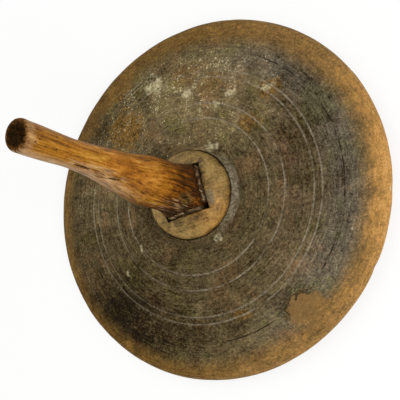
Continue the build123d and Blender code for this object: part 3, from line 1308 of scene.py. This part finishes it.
def rubbed_wood(place):
    """The hub: worn grain along X, painted shade by the mortise, on the far side and at the collar, a
    painted highlight on its polished patch, and a few specks.
    """
    x, y, z = split(place)
    grain = wood(join(y, z, x), (0.01, -0.02, 0), 380.0)
    blots = cloud(place, 80.0, 4.0, 0.65)
    mottling = cloud(place, 300.0, 3.0, 0.65)
    grit = cloud(place, 700.0, 2.0, 0.6)
    fibre_lines = cloud(place * (0.12, 1, 1), 520.0)
    opened = patch(place, (-0.006, -0.041, 0.055), (0.032, 0.011, 0.02), ragged=1.2)
    opened = opened * (0.3 + mask(fibre_lines, 0.40, 0.60, 0.7))
    by_mortise = maximum(abs(x), abs(y))
    # Painted shade in the crease where the hub meets the collar.
    painted_crease_shade = mask(sway(z, (blots, 0.006)), 0.0440, 0.0375)
    # Polished orange wood on the lamp side, partly worn polish and partly a painted highlight.
    polish_and_highlight = patch(place, (0.036, -0.043, 0.045), (0.029, 0.029, 0.03), soft=0.7)
    # Painted shade on the right edge of the hub near its foot.
    painted_edge_shade = patch(place, (0.057, -0.012, 0.044), (0.008, 0.022, 0.012), soft=0.6)
    value = sway(0.51, (grain, 0.40), (blots, 0.90), (mottling, 0.70), (grit, 0.45))
    # Open fibres are darker wood; the far side of the hub, towards +Y, is painted darker as shade.
    value = value - 0.12 * opened - mask(y, 0.000, 0.030, 0.12)
    # Painted shade round the mouth of the mortise.
    value = value - mask(sway(by_mortise, (blots, 0.02)), 0.046, 0.032, 0.10)
    value = value - 0.16 * painted_crease_shade + 0.02 * polish_and_highlight - 0.10 * painted_edge_shade
    colour = tint(polish_and_highlight, ramp(value, hub_tones), polish_and_highlight_tint)
    smudge = patch(place, (0.037, -0.018, 0.056), (0.006, 0.010, 0.01))
    colour = blend(0.55 * smudge, colour, hub_smudge)
    # Painted shade inside the mortise.
    inside = mask(by_mortise, 0.0328, 0.0316, 0.95)
    colour = blend(inside, colour, painted_mortise_shade)
    colour = blend(0.5 * specks(place, 520.0, 0.32) * (1.0 - inside), colour, dry_clay)
    height = 0.5 * grain - 1.2 * opened + 0.5 * mottling
    surface(colour, 0.44 + 0.25 * blots, height, 0.0005)


hub.data.materials.append(make_finish(rubbed_wood))
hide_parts("hub_block")
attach(hub, "post")

# %% [markdown]
# ## The finish of the post
#
# The post is warm orange-brown, polished by hands, with long fine streaks along the grain. One side is
# bleached between its cracks, and the same side is painted darker and greyer as shade. The end is nearly
# black end grain with a pale worn edge, the root is dark, and the cracks and worm holes are black: their
# depth was stored when they were carved.

# %% The post's finish
post_tones = [
    (0.00, (40, 20, 4)), (0.25, (100, 54, 7)), (0.50, (156, 96, 20)),
    (0.75, (188, 128, 48)), (1.00, (216, 174, 108)),
]
end_grain_tones = [(0.00, (10, 6, 2)), (0.50, (40, 25, 7)), (1.00, (106, 68, 30))]
bleached_tones = [(0.00, (104, 78, 50)), (0.50, (166, 130, 90)), (1.00, (212, 186, 148))]
post_olive = tone(104, 84, 42)
crack_brown = tone(44, 31, 15)
# Cool grey tint of the painted shade on the post's lower side.
shade_grey_tint = (1.02, 1.20, 2.00)


def hand_polished_wood(place):
    """The post: polished grain, a dark root and end, painted shade on its lower side, bleached fibres and
    black cracks.
    """
    z = split(place)[2]
    flat = place * (1, 1, 0)
    radius = length(flat)
    low_side = dot(maths("NORMALIZE", flat), (*belly_side, 0))
    grain = wood(place, (-0.016, 0.022, 0), 520.0, 0.0035)
    blots = cloud(place, 70.0, 4.0, 0.6)
    mottling = cloud(place * (1, 1, 0.3), 260.0, 4.0, 0.65)
    grit = cloud(place, 700.0, 2.0, 0.6)
    fibre_lines = cloud(place * (1, 1, 0.06), 640.0)
    root = mask(sway(z, (blots, 0.060), (fibre_lines, 0.050)), 0.145, 0.085)
    # Painted shade: the lower side of the post is darker and greyer.
    painted_low_side_shade = mask(low_side, -0.10, 0.60) * mask(z, 0.285, 0.260)
    neck = mask(z, 0.225, 0.245) * mask(z, 0.285, 0.262) * mask(low_side, 0.15, -0.30)
    value = sway(0.50, (grain, 0.75), (blots, 0.35), (mottling, 0.70), (grit, 0.45))
    value = value - 0.40 * root - 0.12 * painted_low_side_shade + 0.07 * neck
    value = value + 0.9 * root * (fibre_lines - 0.5)
    colour = tint(0.6 * painted_low_side_shade, ramp(value, post_tones), shade_grey_tint)
    hue = cloud(place * (1, 1, 0.25), 90.0, 3.0, 0.6)
    ochre = maximum(mask(hue, 0.48, 0.60, 0.8), mask(z, 0.235, 0.300, 0.9))
    colour = tint(ochre, colour, ochre_tint)
    ragged_z = sway(z, (blots, 0.050), (fibre_lines, 0.080))
    bleached = mask(low_side, 0.45, 0.90, 0.9) * mask(ragged_z, 0.150, 0.210)
    bleached_colour = ramp(sway(0.5, (grain, 0.6), (mottling, 0.9)), bleached_tones)
    colour = blend(bleached * mask(fibre_lines, 0.30, 0.54), colour, bleached_colour)
    by_cracks = patch(place, (0.006, -0.016, 0.234), (0.009, 0.007, 0.036), ragged=1.2)
    colour = blend(by_cracks * mask(fibre_lines, 0.38, 0.56, 0.60), colour, bleached_colour)
    olive = patch(place, (0.022, -0.022, 0.092), (0.008, 0.008, 0.012), ragged=1.2)
    colour = blend(olive * mask(mottling, 0.35, 0.60, 0.8), colour, post_olive)
    splintered = patch(place, (0.004, -0.030, 0.108), (0.016, 0.008, 0.034), ragged=1.3)
    pale = splintered * mask(fibre_lines, 0.52, 0.62, 0.8)
    colour = blend(pale, colour, bleached_colour)
    near_end = sway(z, (blots, 0.012), (mottling, 0.014))
    colour = blend(mask(near_end, 0.3100, 0.3195, 0.52), colour, bleached_colour)
    end_edge = sway(radius, (mottling, 0.0050), (blots, 0.004))
    end = mask(z, 0.3170, 0.3195) * mask(end_edge, 0.0148, 0.0118)
    end_value = sway(0.36, (mottling, 1.2), (grit, 1.0)) + mask(radius, 0.0080, 0.0125, 0.40)
    colour = blend(end, colour, ramp(end_value, end_grain_tones))
    colour = blend(mask(attribute("crack"), 0.10, 0.9), colour, crack_brown)
    roughness = 0.34 + 0.25 * blots + 0.4 * end
    height = 0.7 * grain + pale + 1.5 * end * mottling
    surface(colour, roughness, height, 0.0005, specular=0.14 - 0.13 * end)


post.data.materials.append(make_finish(hand_polished_wood))
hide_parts("spindle_post")
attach(post, "post")

# %% [markdown]
# ## The finish of the wedges
#
# Fresh splits stay rough and take up clay slip, so the wedges are the palest wood on the wheel, with
# dark gaps between the pale fibres.

# %% The wedges' finish
wedge_tones = [
    (0.00, (34, 21, 10)), (0.30, (84, 57, 30)), (0.55, (128, 98, 60)),
    (0.80, (188, 164, 122)), (1.00, (228, 214, 184)),
]


def rough_split_wood(place):
    """The wedges: pale fibres with dark gaps."""
    grain = wood(place, (0.1, 0.06, 0), 700.0)
    blots = cloud(place, 190.0, 3.0, 0.6)
    grit = cloud(place, 800.0, 2.0, 0.6)
    value = sway(0.44, (grain, 0.8), (blots, 1.6), (grit, 1.2))
    surface(ramp(value, wedge_tones), 0.70 + 0.2 * blots, grain + 0.5 * blots, 0.0008)


split_finish = make_finish(rough_split_wood)
for slip in (right_slip, front_slip):
    slip.data.materials.append(split_finish)

# %% [markdown]
# ## The bearing inside
#
# The bush, the washer, the stone cup and the iron pin only show when the post is lifted out. They are
# plain turned shapes and keep their construction meshes. Each gets a finish of its own: hardwood with
# smears of grease round the axis, dark leather with a fine grain, speckled stone, and rusty iron that
# is bright at the tip.

# %% Finishes of the bearing
def greased_bush(place):
    """The bush: hardwood with smears of grease."""
    grain = wood(place, (0.0, 0.2, 0), 520.0)
    smear = cloud(place * (1, 1, 3), 120.0, 4.0)
    hardwood = ramp(grain, [(0.2, (60, 36, 16)), (0.8, (140, 94, 50))])
    colour = blend(mask(smear, 0.45, 0.62, 0.7), hardwood, grease)
    surface(colour, mask(smear, 0.62, 0.40, 0.45), grain, 0.0003)


def greased_leather(place):
    """The washer: dark leather with fine creases."""
    creases = add("TexVoronoi", {"Vector": place, "Scale": 900.0}, "Distance")
    worn = cloud(place, 80.0, 4.0)
    colour = blend(mask(worn, 0.35, 0.65), tone(52, 34, 20), tone(104, 68, 38))
    colour = blend(mask(creases, 0.45, 0.75, 0.5), colour, tone(28, 18, 10))
    surface(colour, 0.35 + 0.3 * worn, creases, 0.0003)


def speckled_stone(place):
    """The cup: grey stone with dark flecks."""
    veins = cloud(place, 160.0, 5.0, 0.65)
    colour = blend(mask(veins, 0.35, 0.65), tone(118, 114, 106), tone(158, 152, 142))
    colour = blend(0.7 * specks(place, 900.0, 0.8), colour, tone(66, 62, 58))
    surface(colour, 0.2 + 0.4 * veins, veins, 0.0002)


def rusty_iron(place):
    """The pin: rust, but bright iron at the tip that turns in the cup."""
    rust = cloud(place, 420.0, 5.0, 0.7)
    ragged_z = sway(split(place)[2], (rust, 0.006))
    rusty = mask(ragged_z, 0.0090, 0.0125)
    rust_colour = blend(mask(rust, 0.40, 0.62), tone(62, 38, 26), tone(120, 70, 38))
    colour = blend(rusty, tone(150, 148, 144), rust_colour)
    surface(colour, 0.3 + 0.5 * rusty, rust, 0.0003, metallic=1.0 - rusty)


bearing_finishes = {
    "bore_bush": greased_bush,
    "leather_washer": greased_leather,
    "pivot_cup": speckled_stone,
    "pivot_pin": rusty_iron,
}
for node, recipe in bearing_finishes.items():
    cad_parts[node].data.materials.clear()
    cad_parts[node].data.materials.append(make_finish(recipe))
    print(node, "is finished as", recipe.__name__)

# %% [markdown]
# ## Floor and light
#
# The wheel lies on a plain white surface in soft light that comes mostly from the camera's side. The
# world gives even light from everywhere, a large lamp on the right shapes the round forms and a second
# one fills the far side. Together they light a level surface about as brightly as its colour is
# written. The floor shows white to the camera and keeps part of the object's shadow.

# %% The floor
floor_size = 40
floor_height = -0.0004
floor_white = tone(246, 246, 244)
floor_shadow_share = 0.30
shadow_full_reach = 0.3
shadow_reach = 1.1


def seen_directly():
    """1 for rays that show a thing itself and 0 for rays that only gather its light."""
    ray_kinds = ("Is Camera Ray", "Is Glossy Ray", "Is Transmission Ray")
    camera_ray, glossy_ray, through_ray = [add("LightPath", output=kind) for kind in ray_kinds]
    return maximum(maximum(camera_ray, glossy_ray), through_ray)


plane = bpy.ops.mesh.primitive_plane_add
floor = new_piece("floor", plane, size=floor_size, location=(0, 0, floor_height))
floor_finish = bpy.data.materials.new("pale_floor")
floor_finish.use_nodes = True
open_tree(floor_finish.node_tree)
from_middle = length(add("TexCoord", output="Object"))
shown_white = 1.0 - mask(from_middle, shadow_reach, shadow_full_reach, floor_shadow_share)
lit = add("BsdfDiffuse", {"Color": floor_white})
white = add("Emission", {"Color": (1, 1, 1), "Strength": 1.0})
floor_shader = add("MixShader", (seen_directly() * shown_white, lit, white))
add("OutputMaterial", {"Surface": floor_shader})
floor.data.materials.append(floor_finish)
print("floor at", floor_height)

# %% The light
world_light = 0.62
lamps = [
    ("key_lamp", (1.30, -1.10, 1.50), 1.4, 29.0),
    ("fill_lamp", (-1.10, 1.20, 1.90), 1.8, 13.0),
]

world = bpy.data.worlds.new("soft_world")
bpy.context.scene.world = world
world.use_nodes = True
open_tree(world.node_tree)
strength = world_light + (1 - world_light) * seen_directly()
sky = add("Background", {"Color": (1, 1, 1), "Strength": strength})
add("OutputWorld", {"Surface": sky})
for name, place, size, power in lamps:
    lamp_data = bpy.data.lights.new(name, "AREA")
    lamp_data.size = size
    lamp_data.energy = power
    lamp = bpy.data.objects.new(name, lamp_data)
    lamp.location = place
    lamp.rotation_euler = (-Vector(place)).to_track_quat("-Z", "Y").to_euler()
    bpy.context.scene.collection.objects.link(lamp)
    print(name, "of", power, "W at", place)
bpy.context.scene.view_settings.view_transform = "Standard"
